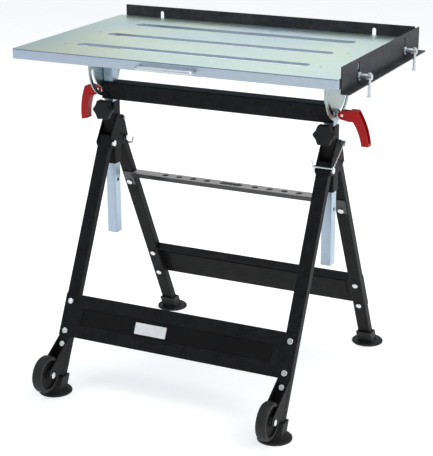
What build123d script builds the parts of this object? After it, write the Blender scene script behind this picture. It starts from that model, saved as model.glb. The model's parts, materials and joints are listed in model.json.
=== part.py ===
from build123d import *
import math
import os

# Folding work table: a slotted, tilting tabletop with two drop-down fences on a
# height-adjustable carriage, carried by an A-frame stand with feet and wheels.
# +X is to the user's right, +Y away from the user, +Z up; millimetres.

# ---- tabletop ----
TOP_LENGTH = 760.0
TOP_DEPTH = 479.0
TOP_HEIGHT = 777.0
SKIRT_HEIGHT = 22.0
TOP_SHEET = 2.5
CORNER_RADIUS = 4.0
SLOT_COUNT = 3
SLOT_LENGTH = 552.0
SLOT_WIDTH = 28.0
SLOT_PITCH = 134.0
SLOT_FLANGE = 5.5
DRAIN_RADIUS = 2.6
DRAIN_INSET = 76.0
DRAIN_PITCH = 154.0
DRAIN_SHIFT = 13.0
HANDLE_LENGTH = 135.0
HANDLE_RADIUS = 4.5
HANDLE_STANDOFF = 17.0
HANDLE_BEND = 8.0

# ---- fences and their T-screws ----
FENCE_SHEET = 2.7
FENCE_GAP = 0.5
FENCE_FLANGE = 19.5
FENCE_SLOT_WIDTH = 9.5
SIDE_FENCE_FRONT = 11.5
SIDE_FENCE_REAR = 17.5
SIDE_FENCE_RISE = 23.0
SIDE_FENCE_HEIGHT = 55.0
BACK_FENCE_LEFT = 16.0
BACK_FENCE_RIGHT = 2.0
BACK_FENCE_RISE = 26.0
BACK_FENCE_HEIGHT = 55.0
FENCE_TRAVEL = 24.0
SIDE_SCREWS = (-134.0, 156.0)
BACK_SCREWS = (-264.0, 282.0)
SCREW_DROP = 13.0
SCREW_RADIUS = 4.0
SCREW_HEAD_RADIUS = 6.0
SCREW_COLLAR_RADIUS = 8.5
SCREW_COLLAR = 3.0
BAR_RADIUS = 3.4
BAR_LENGTH = 50.0
BAR_STOP_RADIUS = 4.3
BAR_STOP = 1.8
BAR_EDGE_GAP = 2.4
NUT_FLATS = 13.0
NUT_HEIGHT = 6.5

# ---- tilt bracket ----
TILT_HEIGHT = 704.0
TILT_RADIUS = 72.0
TILT_SHEET = 3.0
TILT_SLOT_RADIUS = 58.0
TILT_SLOT_SPAN = 170.0
TILT_FLANGE = 22.0
TILT_BOLT_RADIUS = 5.0
TILT_NUT_FLATS = 16.0

# ---- lift posts and cross beam ----
SIDE_X = 274.0
POST = 25.0
POST_WALL = 1.8
POST_BOTTOM = 300.0
POST_ABOVE_PIVOT = 22.0
BEAM_BOTTOM = 628.0
BEAM = 40.0
BEAM_WALL = 2.0
BEAM_BOLT_RADIUS = 3.0
BEAM_BOLT_LIFT = 10.0

# ---- cam lever ----
CAM_PIN_OFFSET = 13.3
CAM_RADIUS = 9.6
CAM_PIN_RADIUS = 3.0
CAM_EYE_RADIUS = 7.5
CAM_EYE_WIDTH = 8.0
CAM_WASHER = 3.0
CAM_WASHER_RADIUS = 11.0
LEVER_WIDTH = 20.0
LEVER_WALL = 3.0
LEVER_REACH = 34.0
LEVER_ARM_HALF = 12.4
LEVER_BULGE = 54.0
LEVER_HOLLOW = 25.0
LEVER_TIP_OUT = 61.5
LEVER_TIP_IN = 45.5
LEVER_DROP = 64.0
LEVER_LEFT_TURN = 12.0

# ---- sleeves, lock pins and clamp knobs ----
SLEEVE_WALL = 2.0
SLEEVE_BOTTOM = 472.0
SLEEVE_TOP = 620.0
PIN_HEIGHT = 577.0
PIN_BEHIND = 5.0
PIN_RADIUS = 4.0
PIN_TIP_X = 249.0
PIN_HEAD_RADIUS = 6.5
PIN_HEAD = 3.0
PIN_NECK_RADIUS = 3.0
PIN_NECK = 4.6
PIN_SEAT = 0.6
POST_HOLE_RADIUS = 4.5
POST_HOLE_HEIGHT = 430.0
BAIL_WIRE = 2.0
BAIL_GAP = 1.2
BAIL_RISE = 8.0
BAIL_TIP_X = 250.0
BAIL_CURL = 14.0
KNOB_HEIGHT = 606.0
KNOB_RADIUS = 26.0
KNOB_WAIST = 20.5
KNOB_LOBES = 6
KNOB_ROUND = 4.0
KNOB_DEPTH = 16.0
KNOB_HUB = 5.0
KNOB_FACE = 45.0
KNOB_STUD_RADIUS = 4.0

# ---- legs, hinge plates, feet ----
LEG_THICK = 20.0
LEG_WALL = 1.5
LEG_REACH = 300.0
LEG_SLOPE = 0.49
LEG_END = 6.0
LEG_TOP = 545.0
HINGE_HEIGHT = 527.0
HINGE_SHEET = 3.0
HINGE_EDGE = 12.5
HINGE_TOP = 590.0
PIN_EDGE = 7.0
HINGE_TOP_RADIUS = 7.5
SPOT_HOLE = 2.6
SPOT_Y = 9.0
SPOT_Z = 541.0
HINGE_BOLT_RADIUS = 4.0
BOLT_HEAD_RADIUS = 6.8
BOLT_HEAD = 4.0
FOOT_RADIUS = 38.0
FOOT_DISC = 5.0
FOOT_COLLAR = 4.0
FOOT_HEIGHT = 34.0

# ---- cross panels, tool rail ----
PANEL_LOW = 118.0
PANEL_HIGH = 207.0
PANEL_SHEET = 2.0
PANEL_FLANGE = 20.0
PANEL_EMBOSS = 1.5
EMBOSS_INSET_X = 20.0
EMBOSS_INSET = 30.0
PANEL_BOLTS = (129.0, 191.0)
NOTCH_LENGTH = 38.0
NOTCH_DEPTH = 10.0
NOTCH_X = -84.0
PLATE_LENGTH = 78.0
PLATE_HEIGHT = 26.0
PLATE_X = -60.0
PLATE_Z = 161.0
PLATE_SHEET = 1.0
RAIL_HEIGHT = 431.0
RAIL_DEPTH = 34.0
RAIL_FORWARD = 10.0
RAIL_SHEET = 2.0
RAIL_LIP = 10.0
RAIL_TAB = 40.0
RAIL_BAND = 80.0
RAIL_TAB_WIDTH = 26.0
RAIL_BOLT_Z = 403.0
RAIL_HOLE_RADIUS = 8.0
RAIL_HOLE_START = 62.0
RAIL_HOLE_PITCH = 37.0
RAIL_HOLES_EACH_SIDE = 4
RAIL_SLOT_LENGTH = 58.0

# ---- wheels ----
WHEEL_RADIUS = 42.0
WHEEL_WIDTH = 22.5
WHEEL_Y = -327.0
WHEEL_Z = 57.0
WHEEL_RIM_RADIUS = 33.0
WHEEL_DISH = 5.0
WHEEL_HUB_RADIUS = 10.0
AXLE_RADIUS = 4.0
BRACKET_WIDTH = 29.0
BRACKET_SHEET = 2.5
BRACKET_HIGH = 118.0
BRACKET_LOW = 41.0
BRACKET_BOLT_Z = 101.0

# ---- fits ----
RUNNING = 0.05
LOOSE = 0.3
SLIDE = 0.5

# ---- derived ----
HALF_LENGTH = TOP_LENGTH / 2
HALF_DEPTH = TOP_DEPTH / 2
UNDERSIDE = TOP_HEIGHT - TOP_SHEET
SCREW_Z = TOP_HEIGHT - SCREW_DROP
POST_OUT = SIDE_X + POST / 2
POST_IN = SIDE_X - POST / 2
BRACKET_X = POST_OUT + SLIDE
BRACKET_OUT = BRACKET_X + TILT_SHEET
CLAMP_Z = TILT_HEIGHT - TILT_SLOT_RADIUS
BEAM_MID = BEAM_BOTTOM + BEAM / 2
# the post slides in the sleeve, and the hinge plates clamp the sleeve and the legs alike
SLEEVE = POST + 2 * SLIDE + 2 * SLEEVE_WALL
LEG_WIDTH = SLEEVE
CAM_X = BRACKET_OUT + CAM_PIN_OFFSET
PLATE_INNER = SLEEVE / 2
PLATE_OUTER = PLATE_INNER + HINGE_SHEET
SIDE_OUT = SIDE_X + PLATE_OUTER
SIDE_IN = SIDE_X - PLATE_OUTER
LEAN = math.atan(LEG_SLOPE)
LEAN_DEG = math.degrees(LEAN)
LEG_CUT = LEG_THICK / math.cos(LEAN)
LEG_HALF = LEG_WIDTH / 2
PIN_Y = SLEEVE / 2 + PIN_BEHIND
HINGE_Y = LEG_REACH - LEG_CUT / 2 - LEG_SLOPE * HINGE_HEIGHT
FOOT_Y = LEG_REACH - LEG_CUT / 2
LEG_INNER_X = SIDE_X - LEG_WIDTH / 2
PANEL_RUN = (PANEL_HIGH - PANEL_LOW) / math.cos(LEAN)


def yz_plate(points, x0, thickness):
    face = make_face(Polyline(*points, close=True))
    return extrude(Plane.YZ.offset(x0) * face, thickness)


def rod_x(radius, x0, x1, y, z):
    return Pos((x0 + x1) / 2, y, z) * Rot(0, 90, 0) * Cylinder(radius, abs(x1 - x0))


def rod_y(radius, y0, y1, x, z):
    return Pos(x, (y0 + y1) / 2, z) * Rot(90, 0, 0) * Cylinder(radius, abs(y1 - y0))


def hex_x(flats, x0, x1, y, z):
    profile = RegularPolygon(flats / 2, 6, major_radius=False)
    return extrude(Pos(x0, y, z) * Rot(0, 90, 0) * profile, x1 - x0)


def hex_y(flats, y0, y1, x, z):
    profile = RegularPolygon(flats / 2, 6, major_radius=False)
    return extrude(Pos(x, y0, z) * Rot(-90, 0, 0) * profile, y1 - y0)


def both_sides(shape):
    return shape, mirror(shape, about=Plane.YZ)


def group(*shapes):
    solids = []
    for shape in shapes:
        solids.extend(shape.solids())
    return Compound(solids)


def leg_face(sign, z, offset=0.0):
    # outer face of a leg pair: sign -1 front, +1 rear; x_dir is +X, y_dir is up the leg
    y = sign * (LEG_REACH - LEG_SLOPE * z)
    normal = (0, sign * math.cos(LEAN), math.sin(LEAN))
    x_dir = (-sign, 0, 0)
    return Plane(origin=(0, y, z), x_dir=x_dir, z_dir=normal).offset(offset)


# ---------------------------------------------------------------- table
def make_tabletop():
    sheet = Pos(0, 0, TOP_HEIGHT - TOP_SHEET / 2) * Box(TOP_LENGTH, TOP_DEPTH, TOP_SHEET)
    sheet = fillet(sheet.edges().filter_by(Axis.Z), CORNER_RADIUS)
    sheet = fillet(sheet.faces().sort_by(Axis.Z)[-1].edges(), TOP_SHEET / 2)
    first = -(SLOT_COUNT - 1) / 2
    for index in range(SLOT_COUNT):
        y = (first + index) * SLOT_PITCH
        wall = SlotOverall(SLOT_LENGTH + 2 * TOP_SHEET, SLOT_WIDTH + 2 * TOP_SHEET)
        opening = SlotOverall(SLOT_LENGTH, SLOT_WIDTH)
        sheet += extrude(Pos(0, y, TOP_HEIGHT - SLOT_FLANGE) * wall, SLOT_FLANGE - TOP_SHEET / 2)
        sheet -= extrude(Pos(0, y, TOP_HEIGHT - 2 * SLOT_FLANGE) * opening, 3 * SLOT_FLANGE)
        drain_y = (first + index) * DRAIN_PITCH + DRAIN_SHIFT
        for side in (-1, 1):
            x = side * (HALF_LENGTH - DRAIN_INSET)
            sheet -= Pos(x, drain_y, UNDERSIDE) * Cylinder(DRAIN_RADIUS, SKIRT_HEIGHT)
    return sheet


def make_skirt():
    tall = SKIRT_HEIGHT - TOP_SHEET
    rim = Box(TOP_LENGTH, TOP_DEPTH, tall)
    rim = fillet(rim.edges().filter_by(Axis.Z), CORNER_RADIUS)
    rim -= Box(TOP_LENGTH - 2 * TOP_SHEET, TOP_DEPTH - 2 * TOP_SHEET, 2 * tall)
    rim = Pos(0, 0, UNDERSIDE - tall / 2) * rim
    for y in SIDE_SCREWS:
        rim -= rod_x(SCREW_RADIUS + RUNNING, HALF_LENGTH - 2 * TOP_SHEET, HALF_LENGTH + 1, y, SCREW_Z)
    for x in BACK_SCREWS:
        rim -= rod_y(SCREW_RADIUS + RUNNING, HALF_DEPTH - 2 * TOP_SHEET, HALF_DEPTH + 1, x, SCREW_Z)
    return rim


def make_handle():
    half = HANDLE_LENGTH / 2 - HANDLE_RADIUS
    near = -HALF_DEPTH
    far = near - HANDLE_STANDOFF
    z = TOP_HEIGHT - SCREW_DROP
    corners = ((-half, near, z), (-half, far, z), (half, far, z), (half, near, z))
    path = FilletPolyline(*corners, radius=HANDLE_BEND)
    start = Plane(origin=corners[0], z_dir=(0, -1, 0))
    return sweep(start * Circle(HANDLE_RADIUS), path)


def make_tilt_bracket():
    disc = Pos(0, TILT_HEIGHT) * Circle(TILT_RADIUS)
    tall = UNDERSIDE - TILT_HEIGHT
    cheek = disc + Pos(0, TILT_HEIGHT + tall / 2) * Rectangle(2 * TILT_RADIUS, tall)
    cheek -= Pos(0, UNDERSIDE + TILT_RADIUS) * Rectangle(3 * TILT_RADIUS, 2 * TILT_RADIUS)
    start = 270 - TILT_SLOT_SPAN / 2
    arc = CenterArc((0, TILT_HEIGHT), TILT_SLOT_RADIUS, start, TILT_SLOT_SPAN)
    cheek -= SlotArc(arc, 2 * (TILT_BOLT_RADIUS + LOOSE))
    cheek -= Pos(0, TILT_HEIGHT) * Circle(TILT_BOLT_RADIUS + RUNNING)
    plate = extrude(Plane.YZ.offset(BRACKET_X) * cheek, TILT_SHEET)
    flange = Box(TILT_FLANGE, 2 * TILT_RADIUS, TILT_SHEET)
    return plate + Pos(BRACKET_X + TILT_FLANGE / 2, 0, UNDERSIDE - TILT_SHEET / 2) * flange


def make_fence_nuts():
    nuts = []
    for y in SIDE_SCREWS:
        inner = HALF_LENGTH - TOP_SHEET
        nut = hex_x(NUT_FLATS, inner - NUT_HEIGHT, inner, y, SCREW_Z)
        nuts.append(nut - rod_x(SCREW_RADIUS + RUNNING, inner - 2 * NUT_HEIGHT, inner + 1, y, SCREW_Z))
    for x in BACK_SCREWS:
        inner = HALF_DEPTH - TOP_SHEET
        nut = hex_y(NUT_FLATS, inner - NUT_HEIGHT, inner, x, SCREW_Z)
        nuts.append(nut - rod_y(SCREW_RADIUS + RUNNING, inner - 2 * NUT_HEIGHT, inner + 1, x, SCREW_Z))
    return group(*nuts)


def fence_slot_plane(rise):
    # a raised fence rests with its screws at the bottom of the slots
    return SCREW_Z + FENCE_TRAVEL / 2, FENCE_TRAVEL + FENCE_SLOT_WIDTH


def make_side_fence():
    x0 = HALF_LENGTH + FENCE_GAP
    y0 = -HALF_DEPTH + SIDE_FENCE_FRONT
    y1 = HALF_DEPTH + SIDE_FENCE_REAR
    top = TOP_HEIGHT + SIDE_FENCE_RISE
    low = top - SIDE_FENCE_HEIGHT
    mid_y = (y0 + y1) / 2
    wall = Box(FENCE_SHEET, y1 - y0, SIDE_FENCE_HEIGHT)
    fence = Pos(x0 + FENCE_SHEET / 2, mid_y, (top + low) / 2) * wall
    lip = Box(FENCE_FLANGE, y1 - y0, FENCE_SHEET)
    fence += Pos(x0 + FENCE_FLANGE / 2, mid_y, low + FENCE_SHEET / 2) * lip
    mid_z, length = fence_slot_plane(SIDE_FENCE_RISE)
    for y in SIDE_SCREWS:
        slot = Rot(0, 0, 90) * SlotOverall(length, FENCE_SLOT_WIDTH)
        cut = extrude(Plane.YZ.offset(x0 - 1) * Pos(y, mid_z) * slot, FENCE_SHEET + 2)
        fence -= cut
    return fence


def make_back_fence():
    y0 = HALF_DEPTH + FENCE_GAP
    x0 = -HALF_LENGTH + BACK_FENCE_LEFT
    x1 = HALF_LENGTH - BACK_FENCE_RIGHT
    top = TOP_HEIGHT + BACK_FENCE_RISE
    low = top - BACK_FENCE_HEIGHT
    mid_x = (x0 + x1) / 2
    wall = Box(x1 - x0, FENCE_SHEET, BACK_FENCE_HEIGHT)
    fence = Pos(mid_x, y0 + FENCE_SHEET / 2, (top + low) / 2) * wall
    lip = Box(x1 - x0, FENCE_FLANGE, FENCE_SHEET)
    fence += Pos(mid_x, y0 + FENCE_FLANGE / 2, low + FENCE_SHEET / 2) * lip
    mid_z, length = fence_slot_plane(BACK_FENCE_RISE)
    for x in BACK_SCREWS:
        slot = Rot(0, 0, 90) * SlotOverall(length, FENCE_SLOT_WIDTH)
        cut = extrude(Plane.XZ.offset(-y0 + 1) * Pos(x, mid_z) * slot, -FENCE_SHEET - 2)
        fence -= cut
    return fence


def make_screw():
    # along +X from the skirt's inner face, x = 0 on the skirt's outer face, axis at the origin
    face = FENCE_GAP + FENCE_SHEET + LOOSE
    bar_x = FENCE_GAP + FENCE_FLANGE + BAR_EDGE_GAP + BAR_STOP_RADIUS
    end = bar_x + BAR_STOP_RADIUS + 1
    screw = rod_x(SCREW_RADIUS, -TOP_SHEET - NUT_HEIGHT - 2, face + 1, 0, 0)
    screw += rod_x(SCREW_COLLAR_RADIUS, face, face + SCREW_COLLAR, 0, 0)
    screw += rod_x(SCREW_HEAD_RADIUS, face + SCREW_COLLAR - 1, end, 0, 0)
    screw -= Pos(bar_x, 0, 0) * Cylinder(BAR_RADIUS + RUNNING, 4 * SCREW_HEAD_RADIUS)
    top = SCREW_HEAD_RADIUS + LOOSE + BAR_STOP
    low = top - BAR_LENGTH
    bar = Pos(bar_x, 0, (top + low) / 2) * Cylinder(BAR_RADIUS, BAR_LENGTH)
    for z in (top - BAR_STOP / 2, low + BAR_STOP / 2):
        bar += Pos(bar_x, 0, z) * Cylinder(BAR_STOP_RADIUS, BAR_STOP)
    return screw, bar


# ---------------------------------------------------------------- carriage
def make_post():
    top = TILT_HEIGHT + POST_ABOVE_PIVOT
    tall = top - POST_BOTTOM
    post = Box(POST, POST, tall)
    post = fillet(post.edges().filter_by(Axis.Z), 2.0)
    post -= Box(POST - 2 * POST_WALL, POST - 2 * POST_WALL, tall + 2)
    post = Pos(SIDE_X, 0, (top + POST_BOTTOM) / 2) * post
    across = (SIDE_X - POST, SIDE_X + POST)
    for z in (TILT_HEIGHT, CLAMP_Z):
        post -= rod_x(TILT_BOLT_RADIUS + RUNNING, *across, 0, z)
    post -= rod_x(POST_HOLE_RADIUS, *across, 0, POST_HOLE_HEIGHT)
    for step in (-1, 1):
        z = BEAM_MID + step * BEAM_BOLT_LIFT
        post -= rod_y(BEAM_BOLT_RADIUS + RUNNING, -POST, 0, SIDE_X, z)
    return post


def make_beam():
    beam = Box(2 * POST_OUT, BEAM, BEAM)
    beam = fillet(beam.edges().filter_by(Axis.X), 3.0)
    beam -= Box(2 * POST_OUT + 2, BEAM - 2 * BEAM_WALL, BEAM - 2 * BEAM_WALL)
    beam = Pos(0, 0, BEAM_MID) * beam
    for side in (-1, 1):
        beam -= Pos(side * SIDE_X, 0, BEAM_MID) * Box(POST, POST, 2 * BEAM)
        for step in (-1, 1):
            z = BEAM_MID + step * BEAM_BOLT_LIFT
            beam -= rod_y(BEAM_BOLT_RADIUS + RUNNING, -BEAM, 0, side * SIDE_X, z)
    return beam


def make_beam_bolts():
    bolts = []
    for side in (-1, 1):
        for step in (-1, 1):
            z = BEAM_MID + step * BEAM_BOLT_LIFT
            x = side * SIDE_X
            shank = rod_y(BEAM_BOLT_RADIUS, -BEAM / 2 - 1, -POST / 2 + 2 * POST_WALL, x, z)
            head = rod_y(1.8 * BEAM_BOLT_RADIUS, -BEAM / 2 - BEAM_BOLT_RADIUS, -BEAM / 2, x, z)
            bolts.append(shank + head)
    return group(*bolts)


def make_pivot_bolts():
    inner = POST_IN - NUT_HEIGHT
    outer = BRACKET_OUT + LOOSE
    bolt = rod_x(TILT_BOLT_RADIUS, inner, outer + 1, 0, TILT_HEIGHT)
    bolt += hex_x(TILT_NUT_FLATS, inner, POST_IN, 0, TILT_HEIGHT)
    bolt += hex_x(TILT_NUT_FLATS, outer, outer + NUT_HEIGHT, 0, TILT_HEIGHT)
    return group(*both_sides(bolt))


def make_clamp_bolts():
    inner = POST_IN - NUT_HEIGHT
    bolt = rod_x(TILT_BOLT_RADIUS, inner, CAM_X, 0, CLAMP_Z)
    bolt += hex_x(TILT_NUT_FLATS, inner, POST_IN, 0, CLAMP_Z)
    bolt += rod_y(CAM_EYE_RADIUS, -CAM_EYE_WIDTH / 2, CAM_EYE_WIDTH / 2, CAM_X, CLAMP_Z)
    keep = Box(2 * CAM_X, CAM_EYE_WIDTH, 4 * CAM_EYE_RADIUS)
    outer = rod_x(3 * TILT_BOLT_RADIUS, BRACKET_OUT + CAM_WASHER + LOOSE, 2 * CAM_X, 0, CLAMP_Z)
    bolt -= outer - Pos(CAM_X, 0, CLAMP_Z) * keep
    bolt -= rod_y(CAM_PIN_RADIUS, -CAM_EYE_WIDTH, CAM_EYE_WIDTH, CAM_X, CLAMP_Z)
    return group(*both_sides(bolt))


def make_cam_washers():
    x0 = BRACKET_OUT + LOOSE
    washer = rod_x(CAM_WASHER_RADIUS, x0, x0 + CAM_WASHER, 0, CLAMP_Z)
    washer -= rod_x(TILT_BOLT_RADIUS + RUNNING, x0 - 1, x0 + CAM_WASHER + 1, 0, CLAMP_Z)
    return group(*both_sides(washer))


def make_cam_pins():
    pin = rod_y(CAM_PIN_RADIUS, -LEVER_WIDTH / 2 - 1, LEVER_WIDTH / 2 + 1, CAM_X, CLAMP_Z)
    return group(*both_sides(pin))


def make_lever(turn):
    # outline in X-Z about the cam pin: a straight arm, an elbow and a drooping grip
    arm = LEVER_ARM_HALF
    near = CAM_WASHER_RADIUS + LEVER_WALL
    elbow = (LEVER_REACH, arm)
    outer = Spline(elbow, (LEVER_BULGE, -0.45 * LEVER_DROP), (LEVER_TIP_OUT, -LEVER_DROP))
    inner = Spline(
        (LEVER_TIP_IN, -LEVER_DROP),
        (LEVER_TIP_IN - 0.4 * LEVER_WIDTH, -0.55 * LEVER_DROP),
        (LEVER_HOLLOW, -arm),
    )
    edge = Polyline(inner @ 1, (near, -arm), (0, -CAM_RADIUS), (0, CAM_RADIUS), (near, CAM_RADIUS),
                    (near + LEVER_WALL, arm), elbow)
    face = make_face(outer.edges() + Line(outer @ 1, inner @ 0).edges() + inner.edges() + edge.edges())
    lever = extrude(Plane.XZ.offset(-LEVER_WIDTH / 2) * face, LEVER_WIDTH)
    lever += Rot(90, 0, 0) * Cylinder(CAM_RADIUS, LEVER_WIDTH)
    wall = LEVER_WALL
    back = Spline(
        (LEVER_TIP_IN + wall, 2 * wall - LEVER_DROP),
        (LEVER_TIP_IN - 0.4 * LEVER_WIDTH + 1.4 * wall, -0.5 * LEVER_DROP),
        (LEVER_REACH - wall, -wall),
    )
    rim = Polyline(back @ 1, (LEVER_REACH - wall, arm - wall), (2 * LEVER_TIP_OUT, arm - wall),
                   (2 * LEVER_TIP_OUT, 2 * wall - LEVER_DROP), back @ 0)
    hollow = make_face(back.edges() + rim.edges())
    width = LEVER_WIDTH - 2 * wall
    lever -= extrude(Plane.XZ.offset(-width / 2) * hollow, width)
    fork = CAM_EYE_WIDTH + 2 * LOOSE
    lever -= Pos(-2, 0, 0) * Box(2 * CAM_RADIUS + 4, fork, 6 * CAM_RADIUS)
    lever -= Rot(90, 0, 0) * Cylinder(CAM_PIN_RADIUS + RUNNING, 2 * LEVER_WIDTH)
    return Pos(CAM_X, 0, CLAMP_Z) * Rot(0, turn, 0) * lever


# ---------------------------------------------------------------- stand
def make_sleeve():
    tall = SLEEVE_TOP - SLEEVE_BOTTOM
    sleeve = Box(SLEEVE, SLEEVE, tall)
    sleeve = fillet(sleeve.edges().filter_by(Axis.Z), 2.0)
    sleeve = Pos(SIDE_X, 0, (SLEEVE_TOP + SLEEVE_BOTTOM) / 2) * sleeve
    sleeve += hex_y(NUT_FLATS, -SLEEVE / 2 - NUT_HEIGHT, -SLEEVE / 2 + 1, SIDE_X, KNOB_HEIGHT)
    bore = SLEEVE - 2 * SLEEVE_WALL
    sleeve -= Pos(SIDE_X, 0, (SLEEVE_TOP + SLEEVE_BOTTOM) / 2) * Box(bore, bore, tall + 2)
    sleeve -= rod_y(KNOB_STUD_RADIUS + RUNNING, -SLEEVE, 0, SIDE_X, KNOB_HEIGHT)
    return sleeve


def make_hinge_plate(x0):
    edges = (Pos(0, HINGE_TOP - HINGE_TOP_RADIUS) * Circle(HINGE_TOP_RADIUS)).edges()
    edges += (Pos(PIN_Y, PIN_HEIGHT) * Circle(PIN_EDGE)).edges()
    for y in (-HINGE_Y, HINGE_Y):
        edges += (Pos(y, HINGE_HEIGHT) * Circle(HINGE_EDGE)).edges()
    profile = make_hull(edges)
    for y in (-HINGE_Y, HINGE_Y):
        profile -= Pos(y, HINGE_HEIGHT) * Circle(HINGE_BOLT_RADIUS + RUNNING)
    profile -= Pos(PIN_Y, PIN_HEIGHT) * Circle(PIN_RADIUS + RUNNING)
    profile -= Pos(SPOT_Y, SPOT_Z) * Circle(SPOT_HOLE)
    return extrude(Plane.YZ.offset(x0) * profile, HINGE_SHEET)


def make_leg(sign, width):
    run = 2 * LEG_REACH
    tube = Box(width, LEG_THICK, 2 * run)
    tube = fillet(tube.edges().filter_by(Axis.Z), 2.0)
    tube -= Box(width - 2 * LEG_WALL, LEG_THICK - 2 * LEG_WALL, 2 * run + 2)
    tube = Pos(SIDE_X, sign * HINGE_Y, HINGE_HEIGHT) * Rot(sign * LEAN_DEG, 0, 0) * tube
    tube -= Pos(SIDE_X, 0, LEG_END - run) * Box(run, 4 * run, 2 * run)
    tube -= Pos(SIDE_X, 0, LEG_TOP + run) * Box(run, 4 * run, 2 * run)
    near = SLEEVE / 2 + SLIDE
    tube -= Pos(SIDE_X, sign * (near - run), HINGE_HEIGHT) * Box(run, 2 * run, 4 * run)
    tube -= rod_x(HINGE_BOLT_RADIUS + RUNNING, SIDE_IN, SIDE_OUT, sign * HINGE_Y, HINGE_HEIGHT)
    return tube


def leg_hole(sign, z, radius):
    # a hole square through the leg, named by its height on the outer face
    plane = leg_face(sign, z)
    drill = Cylinder(radius, 4 * LEG_THICK)
    return plane.location * Pos(-sign * SIDE_X, 0, 0) * drill


def make_front_leg():
    leg = make_leg(-1, LEG_WIDTH)
    for z in PANEL_BOLTS + (BRACKET_BOLT_Z,):
        leg -= leg_hole(-1, z, HINGE_BOLT_RADIUS + RUNNING)
    return leg


def make_rear_leg():
    leg = make_leg(1, LEG_WIDTH)
    for z in PANEL_BOLTS + (rail_bolt_face(),):
        leg -= leg_hole(1, z, HINGE_BOLT_RADIUS + RUNNING)
    return leg


def rail_bolt_face():
    # height on the outer face of a bolt whose inner end is at RAIL_BOLT_Z
    return RAIL_BOLT_Z + LEG_THICK * math.sin(LEAN)


def make_foot(sign):
    centre = Pos(SIDE_X, sign * FOOT_Y, 0)
    disc = centre * Pos(0, 0, FOOT_DISC / 2) * Cylinder(FOOT_RADIUS, FOOT_DISC)
    disc = chamfer(disc.faces().sort_by(Axis.Z)[-1].edges(), 2.0)
    lean = centre * Rot(sign * LEAN_DEG, 0, 0)
    outer = Box(LEG_WIDTH + 2 * FOOT_COLLAR, LEG_THICK + 2 * FOOT_COLLAR, 4 * FOOT_HEIGHT)
    bore = lean * Box(LEG_WIDTH, LEG_THICK, 4 * FOOT_HEIGHT)
    slab = Box(4 * FOOT_RADIUS, 4 * FOOT_RADIUS, 4 * FOOT_HEIGHT)
    below = centre * Pos(0, 0, -2 * FOOT_HEIGHT) * slab
    above = centre * Pos(0, 0, 3 * FOOT_HEIGHT) * slab
    under_leg = centre * Pos(0, 0, LEG_END - 2 * FOOT_HEIGHT) * slab
    collar = lean * outer - below - above
    return disc + collar - (bore - under_leg)


def make_panel(sign):
    plane = leg_face(sign, PANEL_LOW)
    up = PANEL_RUN / 2
    width = 2 * (SIDE_X + LEG_WIDTH / 2)
    inner = 2 * (LEG_INNER_X - 1)
    web = Pos(0, up, PANEL_SHEET / 2) * Box(width, PANEL_RUN, PANEL_SHEET)
    top = Pos(0, PANEL_RUN - PANEL_SHEET / 2, -PANEL_FLANGE / 2)
    web += top * Box(inner, PANEL_SHEET, PANEL_FLANGE)
    wide = inner - 2 * EMBOSS_INSET_X
    tall = PANEL_RUN - 2 * EMBOSS_INSET
    middle = Pos(0, EMBOSS_INSET + tall / 2, 0)
    back = Box(wide + 2 * PANEL_SHEET, tall + 2 * PANEL_SHEET, PANEL_EMBOSS)
    web += middle * Pos(0, 0, -PANEL_EMBOSS / 2) * back
    web -= middle * Pos(0, 0, PANEL_SHEET) * Box(wide, tall, 2 * PANEL_EMBOSS)
    notch_x = -sign * NOTCH_X
    notch = Pos(notch_x, PANEL_RUN, -PANEL_FLANGE / 2) * Box(NOTCH_LENGTH, 4 * PANEL_SHEET, NOTCH_DEPTH)
    web -= notch
    panel = plane.location * web
    for z in PANEL_BOLTS:
        for side in both_sides(leg_hole(sign, z, HINGE_BOLT_RADIUS + RUNNING)):
            panel -= side
    return panel


def make_name_plate():
    plane = leg_face(-1, PLATE_Z)
    plate = Box(PLATE_LENGTH, PLATE_HEIGHT, PLATE_SHEET)
    plate = fillet(plate.edges().filter_by(Axis.Z), 2.0)
    floor = PANEL_SHEET - PANEL_EMBOSS
    return plane.location * Pos(PLATE_X, 0, floor + PLATE_SHEET / 2) * plate


def leg_bolt(sign, z, head_at, nut_at):
    # a bolt square through a leg: head above the outer face, cap nut on the inner face
    plane = leg_face(sign, z)
    high = head_at + BOLT_HEAD
    low = -LEG_THICK - nut_at - BOLT_HEAD
    shank = Pos(0, 0, (head_at + 1 - LEG_THICK - nut_at - 1) / 2)
    shank = shank * Cylinder(HINGE_BOLT_RADIUS, head_at + 2 + LEG_THICK + nut_at)
    head = Pos(0, 0, high - BOLT_HEAD / 2) * Cylinder(BOLT_HEAD_RADIUS, BOLT_HEAD)
    head = fillet(head.faces().sort_by(Axis.Z)[-1].edges(), 1.6)
    nut = Pos(0, 0, low + BOLT_HEAD / 2) * Cylinder(BOLT_HEAD_RADIUS, BOLT_HEAD)
    nut = fillet(nut.faces().sort_by(Axis.Z)[0].edges(), 1.6)
    bolt = shank + head + nut
    return plane.location * Pos(-sign * SIDE_X, 0, 0) * bolt


def make_front_bolts():
    bolts = []
    for z in PANEL_BOLTS:
        bolts.extend(both_sides(leg_bolt(-1, z, PANEL_SHEET, 0)))
    bolts.extend(both_sides(leg_bolt(-1, BRACKET_BOLT_Z, BRACKET_SHEET, 0)))
    return group(*bolts)


def make_rear_bolts():
    bolts = []
    for z in PANEL_BOLTS:
        bolts.extend(both_sides(leg_bolt(1, z, PANEL_SHEET, 0)))
    bolts.extend(both_sides(leg_bolt(1, rail_bolt_face(), 0, RAIL_SHEET)))
    return group(*bolts)


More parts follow.
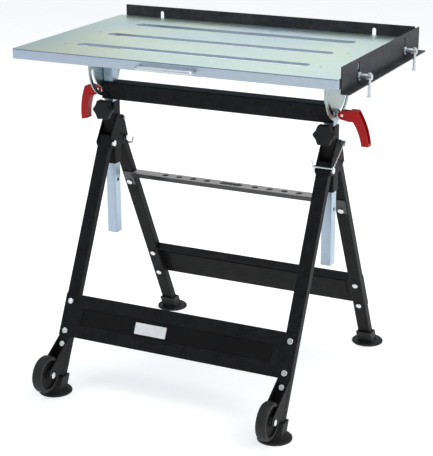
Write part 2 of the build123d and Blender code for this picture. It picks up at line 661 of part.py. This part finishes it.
def make_hinge_bolts(y):
    inner = SIDE_IN - NUT_HEIGHT
    outer = SIDE_OUT + BOLT_HEAD
    bolt = rod_x(HINGE_BOLT_RADIUS, inner + 1, outer - 1, y, HINGE_HEIGHT)
    bolt += hex_x(NUT_FLATS, inner, SIDE_IN, y, HINGE_HEIGHT)
    bolt += hex_x(NUT_FLATS, SIDE_OUT, outer, y, HINGE_HEIGHT)
    return group(*both_sides(bolt))


def make_knob():
    points = []
    for step in range(2 * KNOB_LOBES):
        radius = KNOB_RADIUS if step % 2 == 0 else KNOB_WAIST
        angle = math.pi * step / KNOB_LOBES
        points.append((radius * math.cos(angle), radius * math.sin(angle)))
    lobes = make_face(Polyline(*points, close=True))
    lobes = fillet(lobes.vertices(), KNOB_ROUND)
    knob = extrude(Plane.XZ.offset(KNOB_FACE - KNOB_DEPTH) * lobes, KNOB_DEPTH)
    knob = fillet(knob.faces().sort_by(Axis.Y)[0].edges(), 2.0)
    back = KNOB_DEPTH - KNOB_FACE
    knob += rod_y(2 * KNOB_STUD_RADIUS, back - 1, back + KNOB_HUB, 0, 0)
    knob += rod_y(KNOB_STUD_RADIUS, back - 1, -POST / 2 - LOOSE, 0, 0)
    return Pos(SIDE_X, 0, KNOB_HEIGHT) * knob


def make_lock_pin():
    collar = SIDE_OUT + PIN_SEAT
    neck = collar + PIN_HEAD
    cap = neck + PIN_NECK
    pin = rod_x(PIN_RADIUS, PIN_TIP_X, collar + 1, PIN_Y, PIN_HEIGHT)
    pin = chamfer(pin.faces().sort_by(Axis.X)[0].edges(), 1.0)
    pin += rod_x(PIN_HEAD_RADIUS, collar, neck, PIN_Y, PIN_HEIGHT)
    pin += rod_x(PIN_NECK_RADIUS, neck - 1, cap + 1, PIN_Y, PIN_HEIGHT)
    pin += rod_x(PIN_HEAD_RADIUS, cap, cap + PIN_HEAD, PIN_Y, PIN_HEIGHT)
    return pin


def bail_front():
    # where the wire crosses the front leg: clear of the hinge plate's rounded corner
    reach = HINGE_EDGE + BAIL_WIRE + BAIL_GAP
    return -HINGE_Y - math.sqrt(reach ** 2 - BAIL_RISE ** 2), HINGE_HEIGHT + BAIL_RISE


def bail_rear():
    # the same wire swung back: it crosses behind the rear leg and rests near its outer face
    y, z = bail_front()
    length = math.hypot(PIN_Y - y, PIN_HEIGHT - z)
    gap = LEG_REACH - LEG_SLOPE * PIN_HEIGHT - PIN_Y
    off = gap * math.cos(LEAN) + BAIL_WIRE + BAIL_GAP
    along = math.sqrt(length ** 2 - off ** 2)
    rear_y = PIN_Y + off * math.cos(LEAN) + along * math.sin(LEAN)
    return rear_y, PIN_HEIGHT + off * math.sin(LEAN) - along * math.cos(LEAN)


def make_bail(side, across_y, across_z):
    # wire from the pin's neck past a leg's outer face, ending in a short curl
    x = side * (SIDE_OUT + PIN_SEAT + PIN_HEAD + PIN_NECK / 2)
    half = PIN_NECK / 2 - LOOSE
    ring = PIN_NECK_RADIUS + LOOSE
    out = across_y - PIN_Y
    down = PIN_HEIGHT - across_z
    reach = (ring + 0.8 * BAIL_WIRE) / math.hypot(out, down)
    eye = rod_x(ring + 1.5 * BAIL_WIRE, x - half, x + half, PIN_Y, PIN_HEIGHT)
    start = (x, PIN_Y + out * reach, PIN_HEIGHT - down * reach)
    knee = (x, across_y, across_z)
    tip = side * BAIL_TIP_X
    far = (tip, across_y, across_z)
    hook = (tip, across_y + math.copysign(BAIL_WIRE, out), across_z + BAIL_CURL)
    path = FilletPolyline(start, knee, far, hook, radius=2.5 * BAIL_WIRE)
    profile = Plane(origin=start, x_dir=(1, 0, 0), z_dir=(0, out, -down)) * Circle(BAIL_WIRE)
    wire = sweep(profile, path)
    bail = eye + wire
    return bail - rod_x(ring, x - PIN_NECK, x + PIN_NECK, PIN_Y, PIN_HEIGHT)


def make_rail():
    depth_plane = leg_face(1, RAIL_HEIGHT + LEG_THICK * math.sin(LEAN), -LEG_THICK)
    inner = 2 * (LEG_INNER_X - 1)
    outer = 2 * (SIDE_X + RAIL_TAB_WIDTH / 2)
    front_y = depth_plane.origin.Y - RAIL_FORWARD
    mid_y = front_y + RAIL_DEPTH / 2
    rail = Pos(0, mid_y, RAIL_HEIGHT - RAIL_SHEET / 2) * Box(inner, RAIL_DEPTH, RAIL_SHEET)
    edge_lip = Box(inner, RAIL_SHEET, RAIL_LIP)
    for y in (front_y + RAIL_SHEET / 2, front_y + RAIL_DEPTH - RAIL_SHEET / 2):
        rail += Pos(0, y, RAIL_HEIGHT - RAIL_LIP / 2) * edge_lip
    for side in (-1, 1):
        band_x = side * (outer / 2 - RAIL_BAND / 2)
        band = Pos(band_x, -RAIL_LIP / 2, -RAIL_SHEET / 2) * Box(RAIL_BAND, RAIL_LIP, RAIL_SHEET)
        tab = Box(RAIL_TAB_WIDTH, RAIL_TAB, RAIL_SHEET)
        band += Pos(side * SIDE_X, -RAIL_TAB / 2, -RAIL_SHEET / 2) * tab
        rail += depth_plane.location * band
    for step in range(RAIL_HOLES_EACH_SIDE):
        x = RAIL_HOLE_START + step * RAIL_HOLE_PITCH
        for side in (-1, 1):
            rail -= Pos(side * x, mid_y, RAIL_HEIGHT) * Cylinder(RAIL_HOLE_RADIUS, 8 * RAIL_SHEET)
    slot = extrude(SlotOverall(RAIL_SLOT_LENGTH, 2 * RAIL_HOLE_RADIUS), 8 * RAIL_SHEET)
    rail -= Pos(0, mid_y, RAIL_HEIGHT - 4 * RAIL_SHEET) * slot
    for hole in both_sides(leg_hole(1, rail_bolt_face(), HINGE_BOLT_RADIUS + RUNNING)):
        rail -= hole
    return rail


def make_wheel_bracket():
    half = BRACKET_WIDTH / 2
    high_y = -(LEG_REACH - LEG_SLOPE * BRACKET_HIGH)
    low_y = -(LEG_REACH - LEG_SLOPE * BRACKET_LOW)
    nose = 2.6 * AXLE_RADIUS
    outline = (
        (high_y, BRACKET_HIGH),
        (WHEEL_Y - 0.7 * nose, WHEEL_Z + 0.8 * nose),
        (WHEEL_Y - nose, WHEEL_Z),
        (WHEEL_Y - 0.4 * nose, WHEEL_Z - 0.95 * nose),
        (low_y, BRACKET_LOW),
    )
    bracket = yz_plate(outline, SIDE_X + half - BRACKET_SHEET, BRACKET_SHEET)
    bracket += yz_plate(outline, SIDE_X - half, BRACKET_SHEET)
    plane = leg_face(-1, BRACKET_LOW)
    run = (BRACKET_HIGH - BRACKET_LOW) / math.cos(LEAN)
    base = Pos(SIDE_X, run / 2, BRACKET_SHEET / 2) * Box(BRACKET_WIDTH, run, BRACKET_SHEET)
    bracket += plane.location * base
    bracket -= rod_x(AXLE_RADIUS + RUNNING, SIDE_X - LEG_WIDTH, SIDE_X + LEG_WIDTH, WHEEL_Y, WHEEL_Z)
    bracket -= leg_hole(-1, BRACKET_BOLT_Z, HINGE_BOLT_RADIUS + RUNNING)
    clear = PANEL_SHEET + LOOSE
    limit = leg_face(-1, PANEL_LOW, clear / 2 - 1)
    over = Pos(SIDE_X, PANEL_RUN / 2 - 1, 0) * Box(2 * LEG_WIDTH, PANEL_RUN, 4 * clear)
    return bracket - limit.location * over


def make_wheel():
    half = WHEEL_WIDTH / 2
    dish = half - WHEEL_DISH
    profile = Polyline(
        (AXLE_RADIUS + RUNNING, half),
        (WHEEL_HUB_RADIUS, half),
        (WHEEL_HUB_RADIUS + 1, dish),
        (WHEEL_RIM_RADIUS - 1, dish),
        (WHEEL_RIM_RADIUS, half),
        (WHEEL_RADIUS - 3, half),
        (WHEEL_RADIUS, half - 4),
        (WHEEL_RADIUS, -half + 4),
        (WHEEL_RADIUS - 3, -half),
        (WHEEL_RIM_RADIUS, -half),
        (WHEEL_RIM_RADIUS - 1, -dish),
        (WHEEL_HUB_RADIUS + 1, -dish),
        (WHEEL_HUB_RADIUS, -half),
        (AXLE_RADIUS + RUNNING, -half),
        close=True,
    )
    wheel = revolve(Plane.XZ * make_face(profile), Axis.Z)
    return Pos(SIDE_X, WHEEL_Y, WHEEL_Z) * Rot(0, 90, 0) * wheel


def make_axles():
    half = BRACKET_WIDTH / 2
    inner = SIDE_X - half
    outer = SIDE_X + half
    axle = rod_x(AXLE_RADIUS, inner - NUT_HEIGHT + 1, outer + BOLT_HEAD - 1, WHEEL_Y, WHEEL_Z)
    axle += hex_x(NUT_FLATS, inner - NUT_HEIGHT, inner, WHEEL_Y, WHEEL_Z)
    axle += rod_x(BOLT_HEAD_RADIUS, outer, outer + BOLT_HEAD, WHEEL_Y, WHEEL_Z)
    return group(*both_sides(axle))


# ---------------------------------------------------------------- assembly
def build_parts():
    parts = {}
    parts["tabletop"] = make_tabletop()
    parts["table_skirt"] = make_skirt()
    parts["front_handle"] = make_handle()
    parts["fence_weld_nuts"] = make_fence_nuts()
    parts["side_fence"] = make_side_fence()
    parts["back_fence"] = make_back_fence()
    screw, bar = make_screw()
    for name, y in zip(("front", "rear"), SIDE_SCREWS):
        place = Pos(HALF_LENGTH, y, SCREW_Z)
        parts["side_screw_" + name] = place * screw
        parts["side_screw_bar_" + name] = place * bar
    for name, x in zip(("left", "right"), BACK_SCREWS):
        place = Pos(x, HALF_DEPTH, SCREW_Z) * Rot(0, 0, 90)
        parts["back_screw_" + name] = place * screw
        parts["back_screw_bar_" + name] = place * bar
    parts["cross_beam"] = make_beam()
    parts["beam_bolts"] = make_beam_bolts()
    parts["tilt_pivot_bolts"] = make_pivot_bolts()
    parts["clamp_bolts"] = make_clamp_bolts()
    parts["cam_washers"] = make_cam_washers()
    parts["cam_pins"] = make_cam_pins()
    parts["front_panel"] = make_panel(-1)
    parts["rear_panel"] = make_panel(1)
    parts["name_plate"] = make_name_plate()
    parts["front_leg_bolts"] = make_front_bolts()
    parts["rear_leg_bolts"] = make_rear_bolts()
    parts["front_hinge_bolts"] = make_hinge_bolts(-HINGE_Y)
    parts["rear_hinge_bolts"] = make_hinge_bolts(HINGE_Y)
    parts["tool_rail"] = make_rail()
    parts["wheel_axles"] = make_axles()
    paired = {
        "tilt_bracket": make_tilt_bracket(),
        "lift_post": make_post(),
        "sleeve": make_sleeve(),
        "hinge_plate_outer": make_hinge_plate(SIDE_X + PLATE_INNER),
        "hinge_plate_inner": make_hinge_plate(SIDE_X - PLATE_OUTER),
        "front_leg": make_front_leg(),
        "rear_leg": make_rear_leg(),
        "front_foot": make_foot(-1),
        "rear_foot": make_foot(1),
        "clamp_knob": make_knob(),
        "lock_pin": make_lock_pin(),
        "wheel_bracket": make_wheel_bracket(),
        "wheel": make_wheel(),
    }
    parts["cam_lever_right"] = make_lever(0)
    parts["cam_lever_left"] = mirror(make_lever(LEVER_LEFT_TURN), about=Plane.YZ)
    parts["pin_bail_right"] = make_bail(1, *bail_front())
    parts["pin_bail_left"] = make_bail(-1, *bail_rear())
    for name, shape in paired.items():
        right, left = both_sides(shape)
        parts[name + "_right"] = right
        parts[name + "_left"] = left
    return parts


def centred(parts):
    # the whole table stands on z = 0 with its bounding box centred on the origin
    boxes = [shape.bounding_box() for shape in parts.values()]
    mid_x = (min(b.min.X for b in boxes) + max(b.max.X for b in boxes)) / 2
    mid_y = (min(b.min.Y for b in boxes) + max(b.max.Y for b in boxes)) / 2
    low = min(b.min.Z for b in boxes)
    shift = Pos(-mid_x, -mid_y, -low)
    return {name: shift * shape for name, shape in parts.items()}


os.makedirs("parts", exist_ok=True)
PARTS = centred(build_parts())
for node, shape in PARTS.items():
    export_step(shape, "parts/" + node + ".step")
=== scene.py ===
import json
import math

import bpy
from mathutils import Matrix, Vector


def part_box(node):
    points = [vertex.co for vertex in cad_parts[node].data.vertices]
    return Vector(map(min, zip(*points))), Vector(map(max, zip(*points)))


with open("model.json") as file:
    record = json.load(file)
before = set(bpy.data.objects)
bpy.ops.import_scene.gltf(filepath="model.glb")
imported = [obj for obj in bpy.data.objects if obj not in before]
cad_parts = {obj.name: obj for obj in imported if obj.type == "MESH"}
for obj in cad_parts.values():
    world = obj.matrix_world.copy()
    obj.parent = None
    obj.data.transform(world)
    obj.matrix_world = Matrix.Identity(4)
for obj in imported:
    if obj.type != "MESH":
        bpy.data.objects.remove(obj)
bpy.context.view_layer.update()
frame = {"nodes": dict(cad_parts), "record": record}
NODES = frame["nodes"]
SLOT_OF = {row["node"]: row["material_slot"] for row in frame["record"]["subparts"]}
SCENE = bpy.context.scene
FLOOR_GLOW = 0.42
FLOOR_HALF = 12.0
SKY_STRENGTH = 0.62
WHITE = (1, 1, 1, 1)
SKY_HORIZON = (0.40, (0.30, 0.31, 0.33, 1))
SKY_MIDDLE = (0.62, (0.62, 0.66, 0.70, 1))
SKY_ZENITH = (1.0, (0.95, 0.98, 1.0, 1))
# name, place, target, size, power, colour
STUDIO_LIGHTS = (
    ("key", (3.0, -0.4, 2.3), (0, 0, 0.4), (1.8, 1.8), 40, (1, 0.99, 0.98)),
    ("fill", (-2.2, -2.2, 2.4), (0, 0, 0.5), (1.6, 2.0), 12, (0.95, 0.98, 1)),
    ("top", (0, 0.3, 3.2), (0, 0, 0.5), (3.0, 3.0), 26, (0.98, 0.99, 1)),
    ("rim", (-0.6, 2.8, 2.4), (0, 0, 0.5), (2.6, 1.4), 12, (0.97, 0.99, 1)),
)
CAMERA_AZIMUTH = 0.4530430
CAMERA_ELEVATION = 0.3246067
CAMERA_ROLL = -0.0043288
CAMERA_LENS = 107.07
CAMERA_SENSOR = 36.0
CAMERA_REACH = 50
CAMERA_FROM_TOP = (1.30105, -2.67712)
CAMERA_HEIGHT = 1.34668


def middle(node):
    low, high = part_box(node)
    return (low + high) / 2


TOP = middle("tabletop")


# ------------------------------------------------------------ camera, light, floor
def add_camera():
    azimuth, elevation = CAMERA_AZIMUTH, CAMERA_ELEVATION
    back = Vector((
        math.sin(azimuth) * math.cos(elevation),
        -math.cos(azimuth) * math.cos(elevation),
        math.sin(elevation),
    ))
    right = Vector((math.cos(azimuth), math.sin(azimuth), 0))
    up = back.cross(right)
    turn = Matrix((right, up, back)).transposed() @ Matrix.Rotation(CAMERA_ROLL, 3, "Z")
    data = bpy.data.cameras.new("camera")
    data.lens = CAMERA_LENS
    data.sensor_width = CAMERA_SENSOR
    data.clip_end = CAMERA_REACH
    camera = bpy.data.objects.new("camera", data)
    place = Vector((TOP.x + CAMERA_FROM_TOP[0], TOP.y + CAMERA_FROM_TOP[1], CAMERA_HEIGHT))
    camera.matrix_world = Matrix.Translation(place) @ turn.to_4x4()
    SCENE.collection.objects.link(camera)
    SCENE.camera = camera


def add_area(name, place, target, size, power, colour):
    data = bpy.data.lights.new(name, "AREA")
    data.shape = "RECTANGLE"
    data.size, data.size_y = size
    data.energy = power
    data.color = colour
    light = bpy.data.objects.new(name, data)
    light.location = place
    light.rotation_mode = "QUATERNION"
    light.rotation_quaternion = (Vector(target) - Vector(place)).to_track_quat("-Z", "Y")
    SCENE.collection.objects.link(light)


def add_world():
    world = bpy.data.worlds.new("studio")
    SCENE.world = world
    world.use_nodes = True
    tree = world.node_tree
    tree.nodes.clear()
    out = tree.nodes.new("ShaderNodeOutputWorld")
    mix = tree.nodes.new("ShaderNodeMixShader")
    path = tree.nodes.new("ShaderNodeLightPath")
    seen = tree.nodes.new("ShaderNodeBackground")
    seen.inputs[0].default_value = WHITE
    light = tree.nodes.new("ShaderNodeBackground")
    coords = tree.nodes.new("ShaderNodeTexCoord")
    split = tree.nodes.new("ShaderNodeSeparateXYZ")
    ramp = tree.nodes.new("ShaderNodeValToRGB")
    tree.links.new(coords.outputs["Generated"], split.inputs[0])
    scale = tree.nodes.new("ShaderNodeMapRange")
    scale.inputs["From Min"].default_value = -1
    tree.links.new(split.outputs["Z"], scale.inputs["Value"])
    tree.links.new(scale.outputs[0], ramp.inputs[0])
    stops = ramp.color_ramp.elements
    stops[0].position, stops[0].color = SKY_HORIZON
    stops[1].position, stops[1].color = SKY_ZENITH
    stops.new(SKY_MIDDLE[0]).color = SKY_MIDDLE[1]
    tree.links.new(ramp.outputs[0], light.inputs[0])
    light.inputs[1].default_value = SKY_STRENGTH
    tree.links.new(path.outputs["Is Camera Ray"], mix.inputs[0])
    tree.links.new(light.outputs[0], mix.inputs[1])
    tree.links.new(seen.outputs[0], mix.inputs[2])
    tree.links.new(mix.outputs[0], out.inputs[0])


def add_studio():
    add_world()
    for row in STUDIO_LIGHTS:
        add_area(*row)
    mesh = bpy.data.meshes.new("floor")
    half = FLOOR_HALF
    corners = [(-half, -half, 0), (half, -half, 0), (half, half, 0), (-half, half, 0)]
    mesh.from_pydata(corners, [], [(0, 1, 2, 3)])
    floor = bpy.data.objects.new("floor", mesh)
    SCENE.collection.objects.link(floor)
    look = Look("floor_look")
    tone = look.noise(3.0, 4)
    look.colour(tone, [(0.3, (0.94, 0.94, 0.94)), (0.7, (0.97, 0.97, 0.97))])
    look.rough(tone, 0.75, 0.85)
    look.shader.inputs["Emission Color"].default_value = WHITE
    look.shader.inputs["Emission Strength"].default_value = FLOOR_GLOW
    mesh.materials.append(look.material)
    SCENE.view_settings.view_transform = "Standard"


# ------------------------------------------------------------ procedural materials
class Look:
    """One node material: a Principled shader with helpers for its colour, roughness and relief."""

    def __init__(self, name, **sockets):
        self.material = bpy.data.materials.new(name)
        self.material.use_nodes = True
        self.tree = self.material.node_tree
        self.shader = self.tree.nodes["Principled BSDF"]
        for socket, value in sockets.items():
            self.shader.inputs[socket.replace("_", " ")].default_value = value
        self.coords = self.new("ShaderNodeTexCoord").outputs["Object"]

    def new(self, kind):
        return self.tree.nodes.new(kind)

    def link(self, source, target):
        self.tree.links.new(source, target)

    def stretched(self, scale):
        node = self.new("ShaderNodeMapping")
        node.inputs["Scale"].default_value = scale
        self.link(self.coords, node.inputs[0])
        return node.outputs[0]

    def noise(self, scale, detail=3, stretch=None, roughness=0.55):
        node = self.new("ShaderNodeTexNoise")
        node.inputs["Scale"].default_value = scale
        node.inputs["Detail"].default_value = detail
        node.inputs["Roughness"].default_value = roughness
        self.link(self.stretched(stretch) if stretch else self.coords, node.inputs["Vector"])
        return node.outputs["Fac"]

    def ramp(self, factor, stops):
        node = self.new("ShaderNodeValToRGB")
        elements = node.color_ramp.elements
        while len(elements) < len(stops):
            elements.new(0.5)
        for element, (place, colour) in zip(elements, stops):
            element.position = place
            element.color = (*colour, 1)
        self.link(factor, node.inputs[0])
        return node.outputs[0]

    def grey(self, factor, low, high, dark=0.0, light=1.0):
        return self.ramp(factor, [(low, (dark,) * 3), (high, (light,) * 3)])

    def mix(self, factor, first, second):
        node = self.new("ShaderNodeMix")
        node.data_type = "RGBA"
        sockets = [s for s in node.inputs if s.type == "RGBA"]
        if isinstance(factor, float):
            node.inputs[0].default_value = factor
        else:
            self.link(factor, node.inputs[0])
        for socket, value in zip(sockets, (first, second)):
            if isinstance(value, tuple):
                socket.default_value = (*value, 1)
            else:
                self.link(value, socket)
        return [s for s in node.outputs if s.type == "RGBA"][0]

    def math(self, kind, first, second=0.5):
        node = self.new("ShaderNodeMath")
        node.operation = kind
        for socket, value in zip(node.inputs, (first, second)):
            if isinstance(value, float):
                socket.default_value = value
            else:
                self.link(value, socket)
        return node.outputs[0]

    # Mask of faces turned up, used to paint light and reflection onto the tops of parts.
    def upward_painted_light(self, low, high):
        split = self.new("ShaderNodeSeparateXYZ")
        facing = self.new("ShaderNodeTexCoord")
        self.link(facing.outputs["Normal"], split.inputs[0])
        return self.grey(split.outputs["Z"], low, high)

    def edges(self, low=0.515, high=0.56):
        geometry = self.new("ShaderNodeNewGeometry")
        return self.grey(geometry.outputs["Pointiness"], low, high)

    def colour(self, factor, stops):
        self.link(self.ramp(factor, stops), self.shader.inputs["Base Color"])

    def rough(self, factor, low, high):
        node = self.new("ShaderNodeMapRange")
        node.inputs["To Min"].default_value = low
        node.inputs["To Max"].default_value = high
        self.link(factor, node.inputs["Value"])
        self.link(node.outputs[0], self.shader.inputs["Roughness"])

    def relief(self, height, distance, strength=1.0, edge=0.0007):
        rounded = self.new("ShaderNodeBevel")
        rounded.samples = 4
        rounded.inputs["Radius"].default_value = edge
        bump = self.new("ShaderNodeBump")
        bump.inputs["Strength"].default_value = strength
        bump.inputs["Distance"].default_value = distance
        self.link(height, bump.inputs["Height"])
        self.link(rounded.outputs[0], bump.inputs["Normal"])
        self.link(bump.outputs[0], self.shader.inputs["Normal"])


def zinc_look(name, upper, side):
    look = Look(name, Metallic=1.0)
    # painted light and shade: faces turned up take the lighter top tints, faces turned sideways take the
    # darker side tints
    upward_painted_light = look.upward_painted_light(0.55, 0.90)
    broad = look.noise(2.6, 2)
    bands = look.noise(1.7, 3, stretch=(1.0, 2.4, 2.4))
    top = look.ramp(broad, [(0.32, upper[0]), (0.50, upper[1]), (0.68, upper[2])])
    wall = look.ramp(bands, [(0.34, side[0]), (0.50, side[1]), (0.66, side[2])])
    base = look.mix(upward_painted_light, wall, top)
    spangle = look.noise(60, 2, roughness=0.4)
    base = look.mix(look.grey(spangle, 0.40, 0.62, 0.0, 0.06), base, (0.80, 0.86, 0.90))
    rolled = look.noise(26, 4, stretch=(0.6, 26, 26))
    base = look.mix(look.grey(rolled, 0.35, 0.75, 0.0, 0.20), base, (0.26, 0.33, 0.40))
    scratch = look.noise(90, 5, stretch=(0.12, 3.2, 1.0), roughness=0.7)
    marks = look.grey(scratch, 0.66, 0.72, 0.0, 0.14)
    base = look.mix(marks, base, (0.90, 0.92, 0.93))
    base = look.mix(look.math("MULTIPLY", look.edges(), 0.3), base, (0.80, 0.84, 0.87))
    look.link(base, look.shader.inputs["Base Color"])
    look.rough(look.math("ADD", rolled, look.math("MULTIPLY", spangle, 0.5)), 0.22, 0.44)
    look.relief(look.math("ADD", rolled, look.math("MULTIPLY", scratch, 0.3)), 0.00008, 0.5, 0.0009)
    return look.material


def paint_look(name, dark, light, rough, coat=0.0, edge_tone=(0.10, 0.10, 0.105), level=0.5, top_reflection_tone=None):
    look = Look(name, Coat_Weight=coat, Coat_Roughness=0.18, Specular_IOR_Level=level)
    cloud = look.noise(9, 4)
    grain = look.noise(1500, 2, roughness=0.6)
    base = look.ramp(cloud, [(0.3, dark), (0.7, light)])
    base = look.mix(look.grey(grain, 0.45, 0.75, 0.0, 0.14), base, edge_tone)
    dust = look.noise(40, 6, roughness=0.75)
    base = look.mix(look.grey(dust, 0.58, 0.80, 0.0, 0.10), base, edge_tone)
    worn = look.math("MULTIPLY", look.edges(), look.grey(dust, 0.35, 0.75, 0.0, 0.7))
    base = look.mix(worn, base, edge_tone)
    # painted reflection: faces turned up are lightened towards the top tone, standing in for bright
    # surroundings reflected in glossy black paint
    if top_reflection_tone:
        base = look.mix(look.upward_painted_light(0.75, 0.92), base, top_reflection_tone)
    look.link(base, look.shader.inputs["Base Color"])
    look.rough(look.math("ADD", cloud, look.math("MULTIPLY", dust, 0.4)), *rough)
    look.relief(look.math("ADD", grain, look.math("MULTIPLY", cloud, 0.5)), 0.00006, 0.5)
    return look.material


def bolt_look():
    look = Look("bright_bolt_look", Metallic=1.0)
    cloud = look.noise(160, 4)
    turned = look.noise(420, 3, stretch=(1, 0.2, 0.2))
    base = look.ramp(cloud, [(0.3, (0.66, 0.68, 0.70)), (0.7, (0.88, 0.88, 0.87))])
    base = look.mix(look.grey(turned, 0.5, 0.75, 0.0, 0.3), base, (0.45, 0.46, 0.48))
    look.link(base, look.shader.inputs["Base Color"])
    look.rough(turned, 0.14, 0.34)
    look.relief(turned, 0.00005, 0.5, 0.0005)
    return look.material


def rail_look():
    look = Look("tool_rail_look", Coat_Weight=0.5, Coat_Roughness=0.12)
    geometry = look.new("ShaderNodeNewGeometry")
    split = look.new("ShaderNodeSeparateXYZ")
    look.link(geometry.outputs["Normal"], split.inputs[0])
    # painted reflection: faces turned up get a warm grey top colour standing in for the bright surroundings
    # reflected on the satin black rail; the other faces keep the black
    upward_painted_light = look.grey(split.outputs["Z"], 0.90, 0.97)
    cloud = look.noise(14, 4, stretch=(0.4, 3, 3))
    top = look.ramp(cloud, [(0.3, (0.36, 0.31, 0.26)), (0.7, (0.62, 0.57, 0.51))])
    side = look.ramp(cloud, [(0.3, (0.012, 0.012, 0.013)), (0.7, (0.03, 0.03, 0.032))])
    base = look.mix(upward_painted_light, side, top)
    look.link(base, look.shader.inputs["Base Color"])
    look.rough(cloud, 0.22, 0.42)
    look.relief(look.noise(1200, 2), 0.00005, 0.4)
    return look.material


def plastic_look(name, dark, light, rough, grain_scale, depth):
    look = Look(name, Specular_IOR_Level=0.22)
    cloud = look.noise(30, 4)
    grain = look.noise(grain_scale, 3, roughness=0.6)
    base = look.ramp(cloud, [(0.3, dark), (0.7, light)])
    dust = look.noise(120, 6, roughness=0.8)
    base = look.mix(look.grey(dust, 0.60, 0.85, 0.0, 0.25), base, (0.05, 0.05, 0.05))
    base = look.mix(look.math("MULTIPLY", look.edges(), 0.5), base, (0.05, 0.05, 0.05))
    look.link(base, look.shader.inputs["Base Color"])
    look.rough(look.math("ADD", cloud, look.math("MULTIPLY", grain, 0.4)), *rough)
    look.relief(grain, depth, 0.6, 0.001)
    return look.material


def plate_look():
    look = Look("pale_plate_look", Coat_Weight=0.3, Coat_Roughness=0.2)
    cloud = look.noise(25, 4)
    look.colour(cloud, [(0.3, (0.74, 0.75, 0.77)), (0.7, (0.86, 0.87, 0.88))])
    look.rough(cloud, 0.28, 0.42)
    look.relief(look.noise(900, 2), 0.00003, 0.4)
    return look.material


# painted light and shade on zinc: lit tints for faces turned up, darker bluer shaded tints for slot walls
# and skirt faces
LIT_TOP_TINTS = ((0.42, 0.64, 0.72), (0.56, 0.74, 0.64), (0.72, 0.80, 0.52))
SHADED_SLOT_TINTS = ((0.07, 0.16, 0.27), (0.09, 0.19, 0.31), (0.12, 0.23, 0.34))
SHADED_SKIRT_TINTS = ((0.26, 0.37, 0.53), (0.31, 0.41, 0.54), (0.37, 0.44, 0.52))
# painted shade: darker green-grey zinc tints for the tilt bracket plates, standing in for the shade and
# dark reflections on them
SHADED_PLATE_TINTS = ((0.15, 0.24, 0.22), (0.18, 0.28, 0.23), (0.23, 0.29, 0.21))
SCREW_TINTS = ((0.56, 0.62, 0.68), (0.62, 0.67, 0.71), (0.68, 0.71, 0.73))
POST_TINTS = ((0.22, 0.35, 0.50), (0.28, 0.40, 0.53), (0.33, 0.43, 0.51))
# dark tone, light tone, roughness range, coat, edge tone, specular level
BLACK_PAINT = (
    (0.003, 0.003, 0.0034), (0.006, 0.006, 0.0064), (0.42, 0.58), 0.0, (0.020, 0.020, 0.021), 0.12)
# painted reflection: lighter tone for the front panel's top flange
PANEL_TOP_REFLECTION_TONE = (0.10, 0.10, 0.10)
LOOKS = {
    "zinc_sheet": zinc_look("zinc_sheet_look", LIT_TOP_TINTS, SHADED_SKIRT_TINTS),
    "bright_bolt": bolt_look(),
    "dark_fence": paint_look(
        "dark_fence_look", (0.010, 0.011, 0.013), (0.020, 0.021, 0.024), (0.42, 0.58), 0.0,
        (0.07, 0.07, 0.08), 0.25),
    "black_frame": paint_look("black_frame_look", *BLACK_PAINT),
    "pale_plate": plate_look(),
    "tool_rail_coat": rail_look(),
    "red_lever": paint_look(
        "red_lever_look", (0.34, 0.003, 0.004), (0.46, 0.006, 0.006), (0.30, 0.44), 0.06,
        (0.50, 0.016, 0.014), 0.16),
    "knob_plastic": plastic_look(
        "knob_plastic_look", (0.005, 0.005, 0.006), (0.012, 0.012, 0.013), (0.44, 0.62), 1400, 0.00008),
    "foot_rubber": plastic_look(
        "foot_rubber_look", (0.003, 0.003, 0.004), (0.007, 0.007, 0.008), (0.46, 0.66), 900, 0.0001),
    "tyre": plastic_look(
        "tyre_look", (0.002, 0.002, 0.0024), (0.005, 0.005, 0.0055), (0.46, 0.66), 1100, 0.0001),
}
FRONT_PANEL = paint_look("front_panel_look", *BLACK_PAINT, PANEL_TOP_REFLECTION_TONE)
ZINC_TOP = zinc_look("zinc_top_look", LIT_TOP_TINTS, SHADED_SLOT_TINTS)
ZINC_SCREWS = zinc_look("zinc_screw_look", SCREW_TINTS, SCREW_TINTS)
# painted shade: darker zinc copy for the tilt bracket plates
ZINC_SHADED_PLATES = zinc_look("zinc_shaded_plate_look", SHADED_PLATE_TINTS, SHADED_PLATE_TINTS)
ZINC_POSTS = zinc_look("zinc_post_look", POST_TINTS, POST_TINTS)


def look_of(name):
    if name == "tabletop":
        return ZINC_TOP
    if name == "front_panel":
        return FRONT_PANEL
    if name.startswith("tilt_bracket"):
        return ZINC_SHADED_PLATES
    if "screw" in name or name == "front_handle":
        return ZINC_SCREWS
    if name.startswith("lift_post"):
        return ZINC_POSTS
    return LOOKS[SLOT_OF[name]]


def paint_nodes():
    for name, node in NODES.items():
        node.data.materials.clear()
        node.data.materials.append(look_of(name))


paint_nodes()
add_studio()
add_camera()
